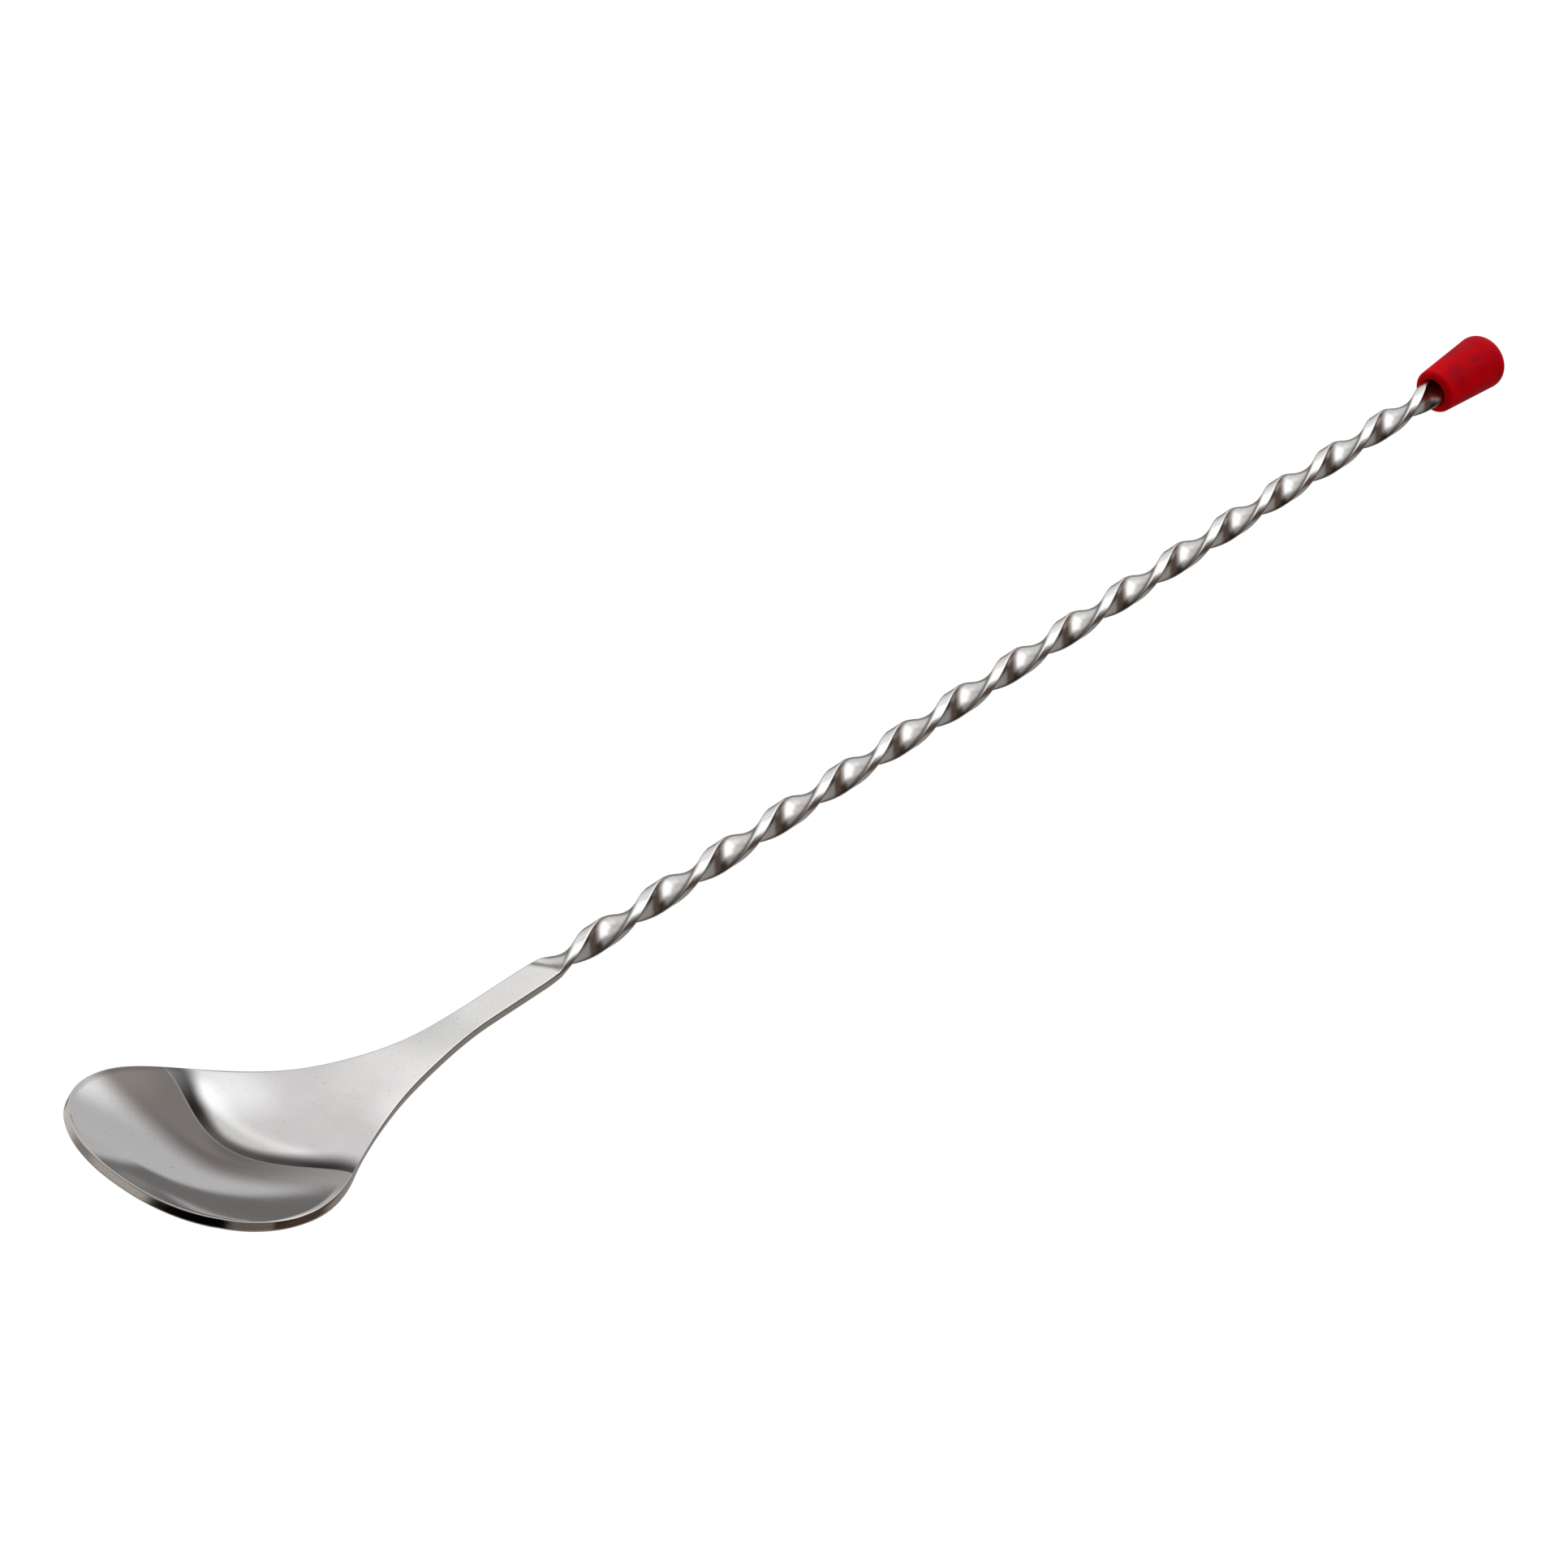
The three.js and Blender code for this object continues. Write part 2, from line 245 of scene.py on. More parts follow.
def flat_half(x):
    """Half width of the handle's flat face."""
    strip_flat = STRIP_WIDTH / 2 - STRIP_CROWN - STRIP_CORNER
    return NECK_FLAT + (strip_flat - NECK_FLAT) * narrowed(x)


def side_rim():
    """Points of one side of the flat face's outline, from the start of the twist to the nose corner."""
    t = np.linspace(0, 1, RIM_SAMPLES)[:, None]
    neck_x = TWIST_START * (1 - t) + FLARE_START * t
    neck = np.concatenate([neck_x, flat_half(neck_x)], axis=1)
    pulls = [
        (FLARE_START, NECK_FLAT),
        (FLARE_START - FLARE_PULL_NECK, NECK_FLAT),
        (BOWL_CENTRE + FLARE_PULL_BOWL, BOWL_FLAT),
        (BOWL_CENTRE, BOWL_FLAT),
    ]
    weights = [(1 - t) ** 3, 3 * (1 - t) ** 2 * t, 3 * (1 - t) * t**2, t**3]
    flare = sum(w * np.array(p) for w, p in zip(weights, pulls))
    nose = nose_point(t[:, 0] * NOSE_CORNER)
    return np.concatenate([neck, flare[1:], nose[1:]])


RIM = side_rim()
RIM_LENGTHS = np.concatenate([[0], np.cumsum(np.linalg.norm(np.diff(RIM, axis=0), axis=1))])
CORNER = nose_point(np.array(NOSE_CORNER))
CREASE_LENGTH = np.interp(-CREASE_RIM_X, -RIM[:, 0], RIM_LENGTHS)


def rim_at(length):
    return np.stack([np.interp(length, RIM_LENGTHS, RIM[:, i]) for i in (0, 1)], axis=-1)


def front_rim(v):
    """Front of the outline, from one nose corner (v = -1) through the tip to the other (v = 1)."""
    point = nose_point(math.pi / 2 - np.abs(v) * (math.pi / 2 - NOSE_CORNER))
    point[..., 1] *= np.sign(v)
    return point


def bow_at(x):
    """How far the cross line that starts at x on the rim bulges towards the tip."""
    crease_bow = CREASE_RIM_X - CREASE_CENTRE_X
    behind = crease_bow * smoothstep(-BOW_START, -CREASE_RIM_X, -x)
    share = (x - CREASE_RIM_X) / (CORNER[0] - CREASE_RIM_X)
    ahead = crease_bow + (CORNER[0] - TIP_X - crease_bow) * share
    return np.where(x > CREASE_RIM_X, behind, ahead)


def twist_angle(x):
    """Left-handed: it turns against the right-hand rule about +X."""
    run = np.maximum(0, x - TWIST_START)
    eased = np.where(run < TWIST_EASE, run**2 / (2 * TWIST_EASE), run - TWIST_EASE / 2)
    return -math.pi * eased / HALF_TURN


# ---------------------------------------------------------------- the blank's surface grid
def bowl_grid(v):
    """Top face of the bowl and neck, stations from the nose back, and which stations are bowl floor."""
    lengths = np.concatenate(
        [
            np.linspace(RIM_LENGTHS[-1], CREASE_LENGTH, FLOOR_STATIONS, endpoint=False),
            np.linspace(CREASE_LENGTH, 0, TONGUE_STATIONS),
        ]
    )
    on_floor = np.arange(len(lengths)) < FLOOR_STATIONS
    front = front_rim(v)
    across = front[:, 1] / CORNER[1]
    ahead = smoothstep(CREASE_LENGTH, RIM_LENGTHS[-1], lengths)
    behind = smoothstep(CREASE_LENGTH, CREASE_LENGTH * SKEW_START, lengths)
    skew = CREASE_SKEW * (1 - ahead) * (1 - behind)
    rim = rim_at(lengths[:, None] + skew[:, None] * across)
    bow = bow_at(rim_at(lengths)[:, 0])
    centre_x = rim_at(lengths)[:, 0] - bow
    rim_rise = smooth_curve(RIM_RISES, level_end=True)(rim[..., 0])
    tongue = smooth_curve(TONGUE_RISES, level_end=True)(centre_x)
    floor = smooth_curve(FLOOR_RISES)(centre_x)
    centre = np.where(on_floor, floor, tongue)[:, None]
    front_bulge = (CORNER[0] - front[:, 0]) / (CORNER[0] - TIP_X)
    crease_bulge = (1 - across**2) ** CREASE_POINT
    bulge = crease_bulge + (front_bulge - crease_bulge) * ahead[:, None]
    x = rim[..., 0] - bow[:, None] * bulge
    y = rim[..., 1] * across
    z = SHEET + centre + (rim_rise - centre) * across**2
    return np.stack([x, y, z], axis=-1), on_floor


def grid_normals(grid):
    along = np.gradient(grid, axis=0)
    sideways = np.gradient(grid, axis=1)
    normals = unit(np.cross(along, sideways))
    # Both grid directions run along the rim at a nose corner, so the normals there come from further in.
    rows, cols = CORNER_BLOCK
    normals[:rows, :cols] = normals[rows, cols]
    normals[:rows, -cols:] = normals[rows, -cols - 1]
    return normals


def strip_grid(v):
    """Middle surface of the twisted strip, its up direction, its across direction and its thickness."""
    step = HALF_TURN / STATIONS_PER_HALF_TURN
    length = STRIP_END_X - STRIP_CORNER - TWIST_START
    count = int(length / step)
    x = TWIST_START + length * np.arange(1, count + 1) / count
    angle = twist_angle(x)
    zero = np.zeros_like(x)
    sideways = np.stack([zero, np.cos(angle), np.sin(angle)], axis=-1)
    up = np.stack([zero, -np.sin(angle), np.cos(angle)], axis=-1)
    half = flat_half(x)
    thickness = SHEET + (STRIP_THICKNESS - SHEET) * smoothstep(TWIST_START, TWIST_START + THICKENING, x)
    share = front_rim(v)[:, 1] / CORNER[1]
    centre = np.stack([x, zero, zero + AXIS_Z], axis=-1)
    middle = centre[:, None] + sideways[:, None] * (half[:, None] * share)[..., None]
    return middle, up, sideways, thickness


def blank_sheet():
    """The blank's top face as one grid, from the nose to the strip's end, and what hangs on it."""
    v = np.linspace(-1, 1, COLUMNS + 1)
    bowl, on_floor = bowl_grid(v)
    middle, strip_up, strip_side, strip_thickness = strip_grid(v)
    strip_top = middle + strip_up[:, None] * (strip_thickness / 2)[:, None, None]
    strip_ups = np.repeat(strip_up[:, None], COLUMNS + 1, axis=1)
    narrow = narrowed(np.concatenate([bowl[:, COLUMNS, 0], middle[:, 0, 0]]))
    return SimpleNamespace(
        v=v,
        bowl=bowl,
        on_floor=on_floor,
        strip_middle=middle,
        strip_side=strip_side,
        top=np.concatenate([bowl, strip_top]),
        up=np.concatenate([grid_normals(bowl), strip_ups]),
        thickness=np.concatenate([np.full(len(bowl), SHEET), strip_thickness]),
        corner=RIM_CORNER + (STRIP_CORNER - RIM_CORNER) * narrow,
        crown=STRIP_CROWN * narrow,
    )


def border_of(stations):
    """Rows and columns of the grid's border, once round: nose, one side, far end, other side."""
    border = [(0, c) for c in range(COLUMNS)]
    border += [(s, COLUMNS) for s in range(stations - 1)]
    border += [(stations - 1, c) for c in range(COLUMNS, 0, -1)]
    border += [(s, 0) for s in range(stations - 1, 0, -1)]
    return np.array(border).T


def smooth_ring(vectors, reach):
    """Directions round a closed ring, averaged with their neighbours."""
    return unit(sum(np.roll(vectors, shift, axis=0) for shift in range(-reach, reach + 1)))


def outward_directions(sheet, rows, cols):
    """Which way the wall faces at each border point, square to the sheet."""
    edge_up = sheet.up[rows, cols]
    edge_top = sheet.top[rows, cols]
    outline = np.roll(edge_top, -1, axis=0) - np.roll(edge_top, 1, axis=0)
    outward = np.cross(edge_up, outline)
    bowl_count = len(sheet.bowl)
    in_strip = rows >= bowl_count
    strip_station = np.clip(rows - bowl_count, 0, len(sheet.strip_side) - 1)
    side = sheet.strip_side[strip_station] * np.sign(sheet.v[cols])[:, None]
    outward[in_strip] = side[in_strip]
    at_end = rows == len(sheet.top) - 1
    outward[at_end] = (1, 0, 0)
    at_end_corner = at_end & (np.abs(sheet.v[cols]) == 1)
    outward[at_end_corner] += side[at_end_corner]
    return unit(outward - edge_up * np.sum(outward * edge_up, axis=1, keepdims=True))


def wall_layers(sheet, rows, cols):
    """Rings of points down the wall: a rounded corner, a slightly crowned side, a rounded corner."""
    up = sheet.up[rows, cols]
    top = sheet.top[rows, cols]
    outward = outward_directions(sheet, rows, cols)
    corner = sheet.corner[rows][:, None]
    crown = sheet.crown[rows][:, None]
    thickness = sheet.thickness[rows][:, None]
    turns = [math.pi / 2 * k / CORNER_STEPS for k in range(1, CORNER_STEPS + 1)]
    layers = []
    for turn in turns:
        drop = corner * (1 - math.cos(turn))
        layers.append(top + outward * corner * math.sin(turn) - up * drop)
    for share in np.linspace(0, 1, WALL_STEPS + 1)[1:-1]:
        drop = corner + (thickness - corner - corner) * share
        bulge = corner + crown * (1 - (2 * share - 1) ** 2)
        layers.append(top + outward * bulge - up * drop)
    for turn in reversed(turns):
        drop = thickness - corner * (1 - math.cos(turn))
        layers.append(top + outward * corner * math.sin(turn) - up * drop)
    return layers


def sheet_faces(grid_index, rows, cols, layer_count):
    """Four-cornered faces of the top, the underside and the wall between them."""
    face_size = grid_index.size
    ring_size = len(rows)
    a, b = grid_index[:-1, :-1].ravel(), grid_index[:-1, 1:].ravel()
    c, d = grid_index[1:, 1:].ravel(), grid_index[1:, :-1].ravel()
    top_faces = np.stack([a, d, c, b], axis=1)
    bottom_faces = np.stack([a, b, c, d], axis=1) + face_size
    rings = [grid_index[rows, cols]]
    rings += [2 * face_size + ring_size * k + np.arange(ring_size) for k in range(layer_count)]
    rings += [grid_index[rows, cols] + face_size]
    walls = []
    for upper, lower in zip(rings, rings[1:]):
        walls.append(np.stack([upper, np.roll(upper, -1), np.roll(lower, -1), lower], axis=1))
    return np.concatenate([top_faces, bottom_faces] + walls)


def blank_mesh():
    """One closed sheet: top and bottom faces, and a wall with rounded corners round the whole border."""
    sheet = blank_sheet()
    stations = len(sheet.top)
    rows, cols = border_of(stations)
    at_nose = rows < NOSE_STATIONS
    sheet.up[rows[at_nose], cols[at_nose]] = smooth_ring(sheet.up[rows, cols], NOSE_REACH)[at_nose]
    layers = wall_layers(sheet, rows, cols)
    bottom = sheet.top - sheet.up * sheet.thickness[:, None, None]
    points = np.concatenate([sheet.top.reshape(-1, 3), bottom.reshape(-1, 3)] + layers)
    grid_index = np.arange(stations * (COLUMNS + 1)).reshape(stations, COLUMNS + 1)
    faces = sheet_faces(grid_index, rows, cols, len(layers))
    masks = blank_masks(sheet, points)
    crease = grid_index[FLOOR_STATIONS].tolist()
    crease_edges = {frozenset(edge) for edge in zip(crease, crease[1:])}
    return points, faces, masks, crease_edges


# ---------------------------------------------------------------- painted light and shade of the steel
# Painted dark reflection on the floor just beyond the crease.
def dark_reflection_mask(bowl):
    right_side = smoothstep(0, -BOWL_HALF, bowl[..., 1])
    end_x = BAND_END_X + BAND_RIGHT_SHIFT * right_side
    band = smoothstep(end_x - BAND_FADE, end_x + BAND_FADE, bowl[..., 0])
    return band * (1 - BAND_RIGHT_LOSS * right_side)


# Painted shade along the crease.
def fringe_mask(bowl):
    from_crease = bowl[..., 0] - bowl[FLOOR_STATIONS, :, 0]
    side_share = bowl[..., 1] / BOWL_HALF
    right_spot = np.exp(-(((side_share - RIGHT_SPOT_PLACE) / RIGHT_SPOT_SPREAD) ** 2))
    left_half = smoothstep(*LEFT_HALF_SPAN, side_share)
    left_end = smoothstep(*LEFT_END_SPAN, side_share)
    widening = RIGHT_SPOT_WIDENING * right_spot + LEFT_HALF_WIDENING * left_half
    width = FRINGE_WIDTH * (1 + widening + LEFT_END_WIDENING * left_end)
    across = from_crease / width
    depth = FRINGE_DEPTH + RIGHT_SPOT_DEEPENING * right_spot + LEFT_HALF_DEEPENING * left_half
    depth = depth - LEFT_END_FADING * left_end * (1 - np.clip(across, 0, 1))
    core = FRINGE_CORE - RIGHT_SPOT_CORE_LOSS * right_spot
    return depth * (1 - smoothstep(core, 1.0, across))


# Painted shade along the edges of the strip's faces.
def margin_mask(sheet):
    share = np.abs(front_rim(sheet.v)[:, 1] / CORNER[1])
    x = sheet.strip_middle[:, 0, 0]
    run_in = smoothstep(TWIST_START, TWIST_START + MARGIN_RUN_IN, x)
    return MARGIN_DEPTH * smoothstep(MARGIN_START, 1.0, share) * run_in[:, None]


# Painted shade where the strip turns out of the neck.
def fold_mask(sheet):
    place = np.concatenate([sheet.bowl, sheet.strip_middle])
    line_x = TWIST_START + FOLD_AHEAD - FOLD_SLANT * place[..., 1] / NECK_HALF
    return FOLD_DEPTH * np.exp(-(((place[..., 0] - line_x) / FOLD_WIDTH) ** 2))


# Painted highlight: the tongue's brightest patch, lifted towards white.
def highlight_mask(bowl):
    x = (bowl[..., 0] - PATCH_PLACE[0]) / PATCH_HALF[0]
    y = (bowl[..., 1] - PATCH_PLACE[1]) / PATCH_HALF[1]
    return np.exp(-((x**2 + y**2) ** PATCH_EDGE))


def blank_masks(sheet, points):
    """What the steel material reads at each point, from 0 to 1."""
    face_shape = sheet.top.shape[:2]
    wall_size = len(points) - 2 * sheet.top[..., 0].size
    strip_shape = sheet.strip_middle.shape[:2]
    floor = sheet.on_floor[:, None]

    def along(bowl, strip=0.0):
        """Values over the bowl and neck, then over the strip, as one grid."""
        bowl_shape = sheet.bowl.shape[:2]
        return np.concatenate([np.broadcast_to(bowl, bowl_shape), np.broadcast_to(strip, strip_shape)])

    def over_points(top, bottom=0.0, wall=0.0):
        """Values in the order of the points: top face, underside, wall."""
        faces = [np.broadcast_to(values, face_shape).ravel() for values in (top, bottom)]
        return np.concatenate(faces + [np.full(wall_size, wall)])

    # Painted shade: a fringe along the crease, margins along the strip's edges and a fold where the twist
    # starts.
    fringe = fringe_mask(sheet.bowl) * ~floor
    margin = margin_mask(sheet)
    painted_shade = np.maximum(along(fringe, margin), fold_mask(sheet))
    before, past = TWIST_FINISH
    # Painted highlight, painted dark reflection and painted shade, then the parts: floor, wall and twist.
    return {
        "painted_highlight": over_points(along(highlight_mask(sheet.bowl) * ~floor)),
        "painted_shade": over_points(painted_shade, along(FRINGE_BELOW * fringe, margin)),
        "dark_reflection": over_points(along(dark_reflection_mask(sheet.bowl) * floor)),
        "floor": over_points(along(floor.astype(float))),
        "wall": over_points(0.0, 0.0, 1.0),
        "twist": smoothstep(TWIST_START - before, TWIST_START + past, points[:, 0]),
    }


# ---------------------------------------------------------------- the end cap's surface
def arc(x, radius, size, start, end, steps):
    """(x, radius) points round part of a circle of the given size."""
    angles = np.linspace(start, end, steps + 1)
    return [(x + size * math.cos(a), radius + size * math.sin(a)) for a in angles]


def straight(start, end, steps):
    """(x, radius) points between two ends, which are left out."""
    (x, radius), (end_x, end_radius) = start, end
    shares = np.linspace(0, 1, steps + 1)[1:-1]
    return [(x + (end_x - x) * s, radius + (end_radius - radius) * s) for s in shares]


def cap_profile():
    """(x, radius) up the blind bore, over the mouth, along the outside and round the far end."""
    quarter, half = math.pi / 2, math.pi
    bore_end = CAP_MOUTH_X + BORE_DEPTH
    bore_corner = bore_end - BORE_CHAMFER
    chamfer_x = CAP_MOUTH_X + BORE_CHAMFER
    chamfer_radius = BORE_MOUTH_RADIUS + BORE_CHAMFER
    mouth_x = CAP_MOUTH_X + CAP_MOUTH_CORNER
    mouth_flat = CAP_MOUTH_RADIUS - CAP_MOUTH_CORNER
    end_x = CAP_END_X - CAP_END_CORNER
    end_flat = CAP_END_RADIUS - CAP_END_CORNER
    profile = [(bore_end, 0.0), (bore_end, BORE_END_RADIUS / 2)]
    profile += arc(bore_corner, BORE_END_RADIUS - BORE_CHAMFER, BORE_CHAMFER, 0, quarter, BORE_END_STEPS)
    profile += straight((bore_corner, BORE_END_RADIUS), (chamfer_x, BORE_MOUTH_RADIUS), BORE_STEPS)
    profile += arc(chamfer_x, chamfer_radius, BORE_CHAMFER, -quarter, -half, BORE_MOUTH_STEPS)
    profile += arc(mouth_x, mouth_flat, CAP_MOUTH_CORNER, half, quarter, MOUTH_CORNER_STEPS)
    profile += straight((mouth_x, CAP_MOUTH_RADIUS), (end_x, CAP_END_RADIUS), CAP_SIDE_STEPS)
    profile += arc(end_x, end_flat, CAP_END_CORNER, quarter, 0, END_CORNER_STEPS)
    profile += [(CAP_END_X, end_flat / 2), (CAP_END_X, 0.0)]
    return np.array(profile)


def cap_mesh():
    profile = cap_profile()
    angles = np.linspace(0, 2 * math.pi, CAP_SEGMENTS, endpoint=False)
    inner = profile[1:-1]
    rings = np.stack(
        [
            np.repeat(inner[:, :1], CAP_SEGMENTS, axis=1),
            inner[:, 1:] * np.cos(angles),
            AXIS_Z + inner[:, 1:] * np.sin(angles),
        ],
        axis=-1,
    )
    centres = [(profile[0, 0], 0, AXIS_Z), (profile[-1, 0], 0, AXIS_Z)]
    points = np.concatenate([rings.reshape(-1, 3), centres])
    index = np.arange(len(inner) * CAP_SEGMENTS).reshape(len(inner), CAP_SEGMENTS)
    following = np.roll(index, -1, axis=1)
    faces = []
    for near, near_next, far, far_next in zip(index[:-1], following[:-1], index[1:], following[1:]):
        faces += np.stack([near, near_next, far_next, far], axis=1).tolist()
    bore_centre, end_centre = len(points) - 2, len(points) - 1
    faces += [[bore_centre, b, a] for a, b in zip(index[0], following[0])]
    faces += [[end_centre, a, b] for a, b in zip(index[-1], following[-1])]
    return points, faces


# ---------------------------------------------------------------- objects
def make_object(name, points, faces, masks=None, sharp=()):
    mesh = bpy.data.meshes.new(name)
    mesh.from_pydata((points * MM).tolist(), [], [list(map(int, f)) for f in faces])
    mesh.validate()
    mesh.polygons.foreach_set("use_smooth", [True] * len(mesh.polygons))
    for mask_name, values in (masks or {}).items():
        attribute = mesh.attributes.new(mask_name, "FLOAT", "POINT")
        attribute.data.foreach_set("value", np.asarray(values, np.float32))
    if sharp:
        flag = mesh.attributes.new("sharp_edge", "BOOLEAN", "EDGE")
        flag.data.foreach_set("value", [frozenset(e.vertices) in sharp for e in mesh.edges])
    made = bpy.data.objects.new(name, mesh)
    bpy.context.scene.collection.objects.link(made)
    weighted = made.modifiers.new("even shading", "WEIGHTED_NORMAL")
    weighted.keep_sharp = True
    return made


# ---------------------------------------------------------------- node helpers
class Nodes:
    """Short ways to build a node tree."""

    def __init__(self, tree):
        self.tree = tree

    def add(self, kind, inputs=None, **settings):
        node = self.tree.nodes.new(kind)
        for key, value in settings.items():
            setattr(node, key, value)
        for key, value in (inputs or {}).items():
            self.feed(node.inputs[key], value)
        return node

    def feed(self, socket, value):
        if isinstance(value, bpy.types.NodeSocket):
            self.tree.links.new(value, socket)
        else:
            socket.default_value = value

    def math(self, operation, *values):
        node = self.add("ShaderNodeMath", operation=operation)
        for socket, value in zip(node.inputs, values):
            self.feed(socket, value)
        return node.outputs[0]

    def remap(self, value, low, high):
        """0 at low, 1 at high and smooth in between; low may be the larger of the two."""
        node = self.add("ShaderNodeMapRange", interpolation_type="SMOOTHSTEP")
        for socket, number in zip(node.inputs, (value, low, high)):
            self.feed(socket, number)
        return node.outputs[0]

    def mix_colour(self, factor, first, second):
        node = self.add("ShaderNodeMix", data_type="RGBA", clamp_factor=True)
        # Inputs 6 and 7 are the node's two colour sockets.
        for number, value in ((0, factor), (6, first), (7, second)):
            self.feed(node.inputs[number], value)
        return node.outputs[2]

    def mix_number(self, factor, first, second):
        node = self.add("ShaderNodeMix", data_type="FLOAT")
        # Inputs 2 and 3 are the node's two number sockets.
        for number, value in ((0, factor), (2, first), (3, second)):
            self.feed(node.inputs[number], value)
        return node.outputs[0]

    def mask(self, name):
        return self.add("ShaderNodeAttribute", attribute_name=name).outputs["Fac"]

    def place(self, scale):
        """Object position times a scale for each axis, in units per metre."""
        where = self.add("ShaderNodeTexCoord").outputs["Object"]
        node = self.add("ShaderNodeVectorMath", {0: where, 1: scale}, operation="MULTIPLY")
        return node.outputs[0]

    def noise(self, scale, detail=2.0, roughness=0.5):
        inputs = {"Vector": self.place(scale), "Scale": 1.0, "Detail": detail, "Roughness": roughness}
        return self.add("ShaderNodeTexNoise", inputs).outputs["Fac"]


def new_material(name):
    material = bpy.data.materials.new(name)
    material.use_nodes = True
    material.node_tree.nodes.clear()
    return material, Nodes(material.node_tree)


# ---------------------------------------------------------------- steel
# Noise scales are in units per metre along x, y and z. Two colours are the darkest and lightest of a noise.
POLISH_SCALE = (300, 300, 300)
LINE_SCALE = (260, 9000, 9000)
GRAIN_SCALE = (5200, 5200, 5200)
PIT_SCALE = (1500, 2600, 2600)
STEEL_COLOURS = ((0.66, 0.65, 0.645, 1), (0.74, 0.735, 0.73, 1))
# Near white of the painted highlight on the tongue.
HIGHLIGHT_COLOUR = (0.98, 0.98, 0.98, 1)
FLOOR_COLOURS = ((0.40, 0.39, 0.39, 1), (0.60, 0.60, 0.605, 1))
# Colour and strength of the painted dark reflection on the floor.
DARK_REFLECTION_COLOUR = (0.14, 0.125, 0.115, 1)
DARK_REFLECTION_STRENGTH = 0.95
WALL_COLOURS = ((0.42, 0.38, 0.35, 1), (0.68, 0.66, 0.64, 1))
# Colours of the painted shade along the crease, and along the twisted strip's edges.
CREASE_SHADE_COLOUR = (0.012, 0.008, 0.008, 1)
EDGE_SHADE_COLOURS = ((0.03, 0.014, 0.008, 1), (0.16, 0.10, 0.075, 1))
PIT_COLOUR = (0.12, 0.09, 0.075, 1)
PIT_LEVELS = (0.635, 0.7)  # noise at which a pit starts and is full
PIT_STRENGTH, TWIST_PIT_STRENGTH = 0.5, 0.1
NECK_ROUGHNESS, FLOOR_ROUGHNESS, TWIST_ROUGHNESS = 0.15, 0.09, 0.25
ROUGHNESS_SPREAD = 0.05
LINE_HEIGHT, FLOOR_LINE_HEIGHT = 0.5, 0.1
GRAIN_HEIGHT, FLOOR_GRAIN_HEIGHT = 0.25, 0.35
STEEL_BUMP = {"Strength": 0.2, "Distance": 0.00002}


def steel_colour(n, polish, grain):
    floor, wall, twist = n.mask("floor"), n.mask("wall"), n.mask("twist")
    colour = n.mix_colour(polish, *STEEL_COLOURS)
    # Painted highlight on the tongue.
    colour = n.mix_colour(n.mask("painted_highlight"), colour, HIGHLIGHT_COLOUR)
    colour = n.mix_colour(floor, colour, n.mix_colour(grain, *FLOOR_COLOURS))
    # Painted dark reflection in a band of the floor beyond the crease.
    colour = n.mix_colour(n.math("MULTIPLY", n.mask("dark_reflection"), DARK_REFLECTION_STRENGTH), colour, DARK_REFLECTION_COLOUR)
    wall_before_twist = n.math("MULTIPLY", wall, n.math("SUBTRACT", 1.0, twist))
    colour = n.mix_colour(wall_before_twist, colour, n.mix_colour(grain, *WALL_COLOURS))
    # Painted shade: near black before the twist, dark brown along the twisted strip.
    shade_colour = n.mix_colour(twist, CREASE_SHADE_COLOUR, n.mix_colour(grain, *EDGE_SHADE_COLOURS))
    colour = n.mix_colour(n.mask("painted_shade"), colour, shade_colour)
    pits = n.remap(n.noise(PIT_SCALE, detail=4.0, roughness=0.7), *PIT_LEVELS)
    pitted = n.math("MULTIPLY", pits, n.mix_number(twist, PIT_STRENGTH, TWIST_PIT_STRENGTH))
    return n.mix_colour(pitted, colour, PIT_COLOUR)


def steel_roughness(n, polish):
    rough = n.mix_number(n.mask("floor"), NECK_ROUGHNESS, FLOOR_ROUGHNESS)
    rough = n.mix_number(n.mask("twist"), rough, TWIST_ROUGHNESS)
    swing = n.math("MULTIPLY", n.math("SUBTRACT", polish, 0.5), ROUGHNESS_SPREAD)
    return n.math("ADD", rough, swing)


def steel_bump(n, grain):
    """Fine lines along the spoon and an even grain."""
    floor = n.mask("floor")
    lines = n.noise(LINE_SCALE)
    line_height = n.math("MULTIPLY", lines, n.mix_number(floor, LINE_HEIGHT, FLOOR_LINE_HEIGHT))
    grain_height = n.math("MULTIPLY", grain, n.mix_number(floor, GRAIN_HEIGHT, FLOOR_GRAIN_HEIGHT))
    height = n.math("ADD", line_height, grain_height)
    return n.add("ShaderNodeBump", {**STEEL_BUMP, "Height": height}).outputs[0]


def steel_material():
    material, n = new_material("stainless_steel")
    polish = n.noise(POLISH_SCALE, detail=3.0)
    grain = n.noise(GRAIN_SCALE, roughness=0.6)
    inputs = {
        "Base Color": steel_colour(n, polish, grain),
        "Metallic": 1.0,
        "Roughness": steel_roughness(n, polish),
        "Normal": steel_bump(n, grain),
    }
    shader = n.add("ShaderNodeBsdfPrincipled", inputs)
    n.add("ShaderNodeOutputMaterial", {"Surface": shader.outputs[0]})
    return material


# ---------------------------------------------------------------- red soft plastic
MOTTLE_SCALE = (240, 330, 330)
MOTTLE_LEVELS = (0.3, 0.7)
VINYL_GRAIN_SCALE = (4000, 4000, 4000)
VINYL_COLOURS = ((0.62, 0.0, 0.014, 1), (1.0, 0.0, 0.006, 1))
VINYL_ROUGHNESS = (0.45, 0.65)
VINYL_SPECULAR = 0.04
VINYL_BUMP = {"Strength": 0.2, "Distance": 0.00003}


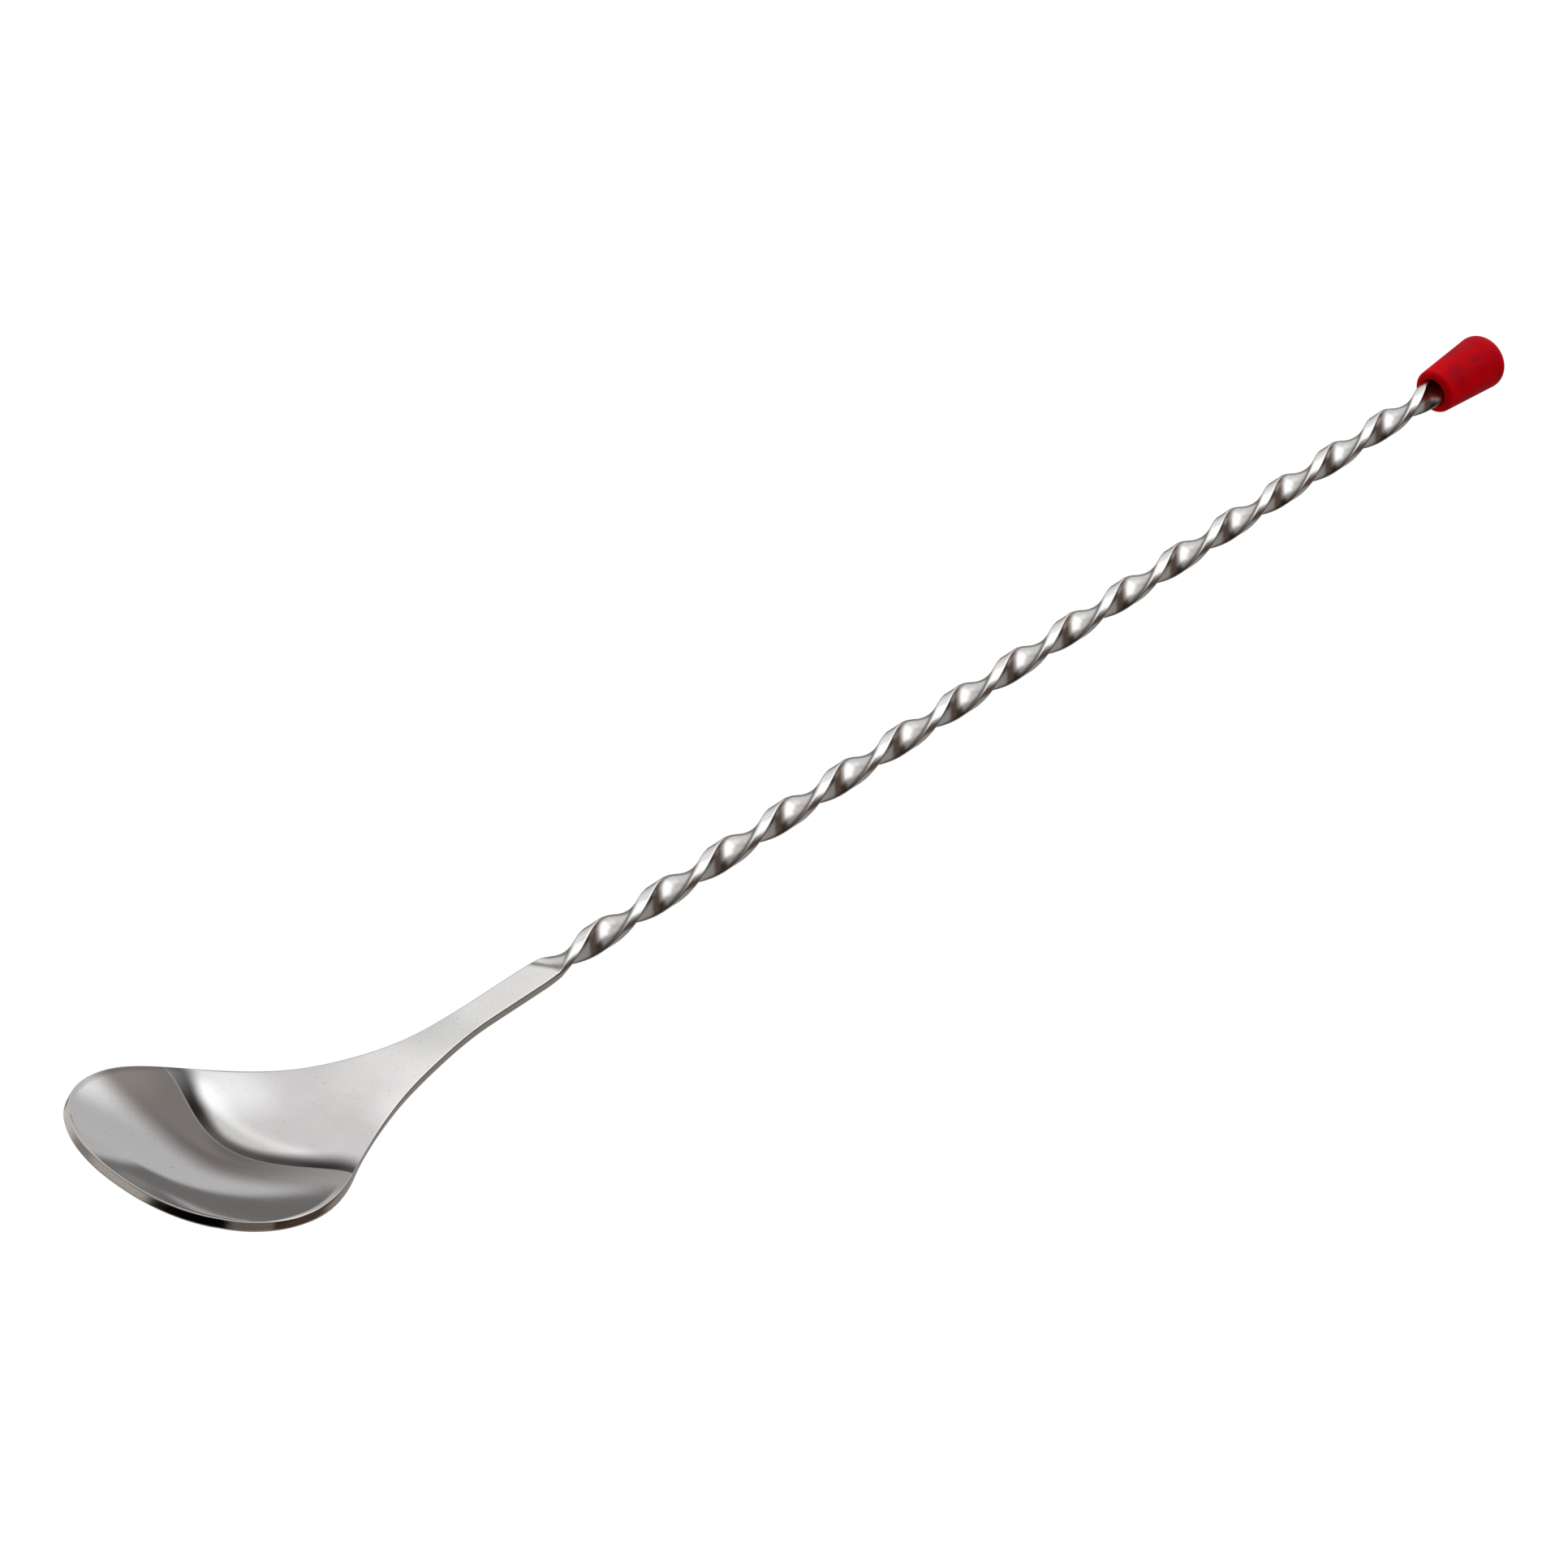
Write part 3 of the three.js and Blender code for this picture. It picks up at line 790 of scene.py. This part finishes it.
def vinyl_material():
    material, n = new_material("red_vinyl")
    mottle = n.remap(n.noise(MOTTLE_SCALE, detail=3.0), *MOTTLE_LEVELS)
    grain = n.noise(VINYL_GRAIN_SCALE)
    bump = n.add("ShaderNodeBump", {**VINYL_BUMP, "Height": grain})
    inputs = {
        "Base Color": n.mix_colour(mottle, *VINYL_COLOURS),
        "Roughness": n.mix_number(mottle, *VINYL_ROUGHNESS),
        "Normal": bump.outputs[0],
        "Specular IOR Level": VINYL_SPECULAR,
    }
    shader = n.add("ShaderNodeBsdfPrincipled", inputs)
    n.add("ShaderNodeOutputMaterial", {"Surface": shader.outputs[0]})
    return material


# ---------------------------------------------------------------- studio
# Angles are in degrees, the lens and sensor in millimetres, distances in metres.
VIEW_AZIMUTH = -46.783
VIEW_ELEVATION = 37.445
VIEW_DISTANCE = 0.76906
LENS = 126.5
SENSOR = 36.0
CLIP_START = 0.01
AIM_SHARE = 0.45  # how far along the spoon the camera aims
AIM_SIDE = 0.00496
FLOOR_HALF = 3.0


def add_camera():
    data = bpy.data.cameras.new("camera")
    data.sensor_width = SENSOR
    data.lens = LENS
    data.clip_start = CLIP_START
    camera = bpy.data.objects.new("camera", data)
    bpy.context.scene.collection.objects.link(camera)
    azimuth, elevation = math.radians(VIEW_AZIMUTH), math.radians(VIEW_ELEVATION)
    level = math.cos(elevation)
    back = Vector((math.sin(azimuth) * level, -math.cos(azimuth) * level, math.sin(elevation)))
    aim = Vector((CAD_LOW.x + AIM_SHARE * (CAD_HIGH.x - CAD_LOW.x), AIM_SIDE, AXIS_Z * MM))
    camera.location = aim + back * VIEW_DISTANCE
    camera.rotation_euler = (-back).to_track_quat("-Z", "Y").to_euler()
    bpy.context.scene.camera = camera


# What the steel mirrors, painted on the world from the base up. Headings are in degrees from straight
# away from the camera, positive to its right; heights are in degrees above the level.
BASE_LIGHT = (0.34, 0.325, 0.31)
SOFT_LIGHTS = {
    # name: (heading, half width, height, half height, softness, colour)
    "left sweep": (-25, 42, 10, 46, 14, (0.80, 0.80, 0.79)),
    "floor sweep": (12, 27, 18, 16, 10, (0.84, 0.83, 0.83)),
    "ceiling": (20, 90, 76, 15, 12, (0.74, 0.71, 0.68)),
    "front sweep": (16, 21, 43, 12, 12, (1.15, 1.15, 1.15)),
    "far table": (-12, 22, -26, 30.5, 3, (0.24, 0.235, 0.225)),
    "dark wall": (96, 48, -10, 18.5, 9, (0.10, 0.065, 0.048)),
    "dark corner": (126, 15, 14, 14, 10, (0.006, 0.004, 0.003)),
    "warm spill": (56, 14, 13, 3, 8, (0.62, 0.40, 0.29)),
    "key": (66, 38, 43, 19, 12, (1.6, 1.6, 1.6)),
    "left table": (-98, 14, 10, 14, 6, (0.60, 0.57, 0.545)),
    "behind right": (166, 23, 24, 26, 8, (0.20, 0.175, 0.16)),
    "behind left": (-142, 30, 28, 38, 3, (0.0, 0.0, 0.0)),
}


def painted_window(n, sideways, forwards, height, heading, half_width, centre, half_height, soft):
    """1 inside a soft-edged window on the sky, 0 outside."""
    turn = math.radians(heading)
    across = n.math(
        "SUBTRACT",
        n.math("MULTIPLY", sideways, math.cos(turn)),
        n.math("MULTIPLY", forwards, math.sin(turn)),
    )
    ahead = n.math(
        "ADD",
        n.math("MULTIPLY", forwards, math.cos(turn)),
        n.math("MULTIPLY", sideways, math.sin(turn)),
    )
    off_heading = n.math("ABSOLUTE", n.math("ARCTAN2", across, ahead))
    off_height = n.math("ABSOLUTE", n.math("SUBTRACT", height, math.radians(centre)))
    edge = math.radians(soft) / 2
    in_width = n.remap(off_heading, math.radians(half_width) + edge, math.radians(half_width) - edge)
    in_height = n.remap(off_height, math.radians(half_height) + edge, math.radians(half_height) - edge)
    return n.math("MULTIPLY", in_width, in_height)


def add_world():
    world = bpy.data.worlds.new("studio")
    bpy.context.scene.world = world
    world.use_nodes = True
    world.node_tree.nodes.clear()
    n = Nodes(world.node_tree)
    direction = n.add("ShaderNodeTexCoord").outputs["Generated"]
    away = math.radians(-VIEW_AZIMUTH)
    turned = n.add("ShaderNodeVectorRotate", {"Vector": direction, "Angle": away}, rotation_type="Z_AXIS")
    parts = n.add("ShaderNodeSeparateXYZ", {0: turned.outputs[0]})
    sideways, forwards = parts.outputs[0], parts.outputs[1]
    height = n.math("ARCSINE", parts.outputs[2])
    colour = (*BASE_LIGHT, 1)
    for *window, paint in SOFT_LIGHTS.values():
        weight = painted_window(n, sideways, forwards, height, *window)
        colour = n.mix_colour(weight, colour, (*paint, 1))
    camera_ray = n.add("ShaderNodeLightPath").outputs["Is Camera Ray"]
    colour = n.mix_colour(camera_ray, colour, (1, 1, 1, 1))
    background = n.add("ShaderNodeBackground", {"Color": colour, "Strength": 1.0})
    n.add("ShaderNodeOutputWorld", {"Surface": background.outputs[0]})


def floor_material():
    """Plain white from above, and clear from below so that the underside can be looked at."""
    material, n = new_material("floor_white")
    white = n.add("ShaderNodeEmission", {"Color": (1, 1, 1, 1), "Strength": 1.0})
    seen_from_below = n.add("ShaderNodeNewGeometry").outputs["Backfacing"]
    clear = n.add("ShaderNodeBsdfTransparent")
    mixed = n.add("ShaderNodeMixShader", {0: seen_from_below, 1: white.outputs[0], 2: clear.outputs[0]})
    n.add("ShaderNodeOutputMaterial", {"Surface": mixed.outputs[0]})
    return material


def add_floor():
    corners = [(x * FLOOR_HALF, y * FLOOR_HALF, CAD_LOW.z) for x, y in ((-1, -1), (1, -1), (1, 1), (-1, 1))]
    mesh = bpy.data.meshes.new("floor")
    mesh.from_pydata(corners, [], [(0, 1, 2, 3)])
    mesh.materials.append(floor_material())
    floor = bpy.data.objects.new("floor", mesh)
    bpy.context.scene.collection.objects.link(floor)
    floor.visible_diffuse = False
    floor.visible_glossy = False
    floor.visible_transmission = False
    floor.visible_shadow = False


# ---------------------------------------------------------------- build
points, faces, masks, crease_edges = blank_mesh()
blank = make_object("spoon_blank_visual", points, faces, masks, crease_edges)
blank.data.materials.append(steel_material())
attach(blank, "spoon")
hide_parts("spoon_blank")

points, faces = cap_mesh()
cap = make_object("end_cap_visual", points, faces)
cap.data.materials.append(vinyl_material())
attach(cap, "cap")
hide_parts("end_cap")

add_floor()
add_world()
add_camera()
bpy.context.scene.view_settings.view_transform = "Standard"
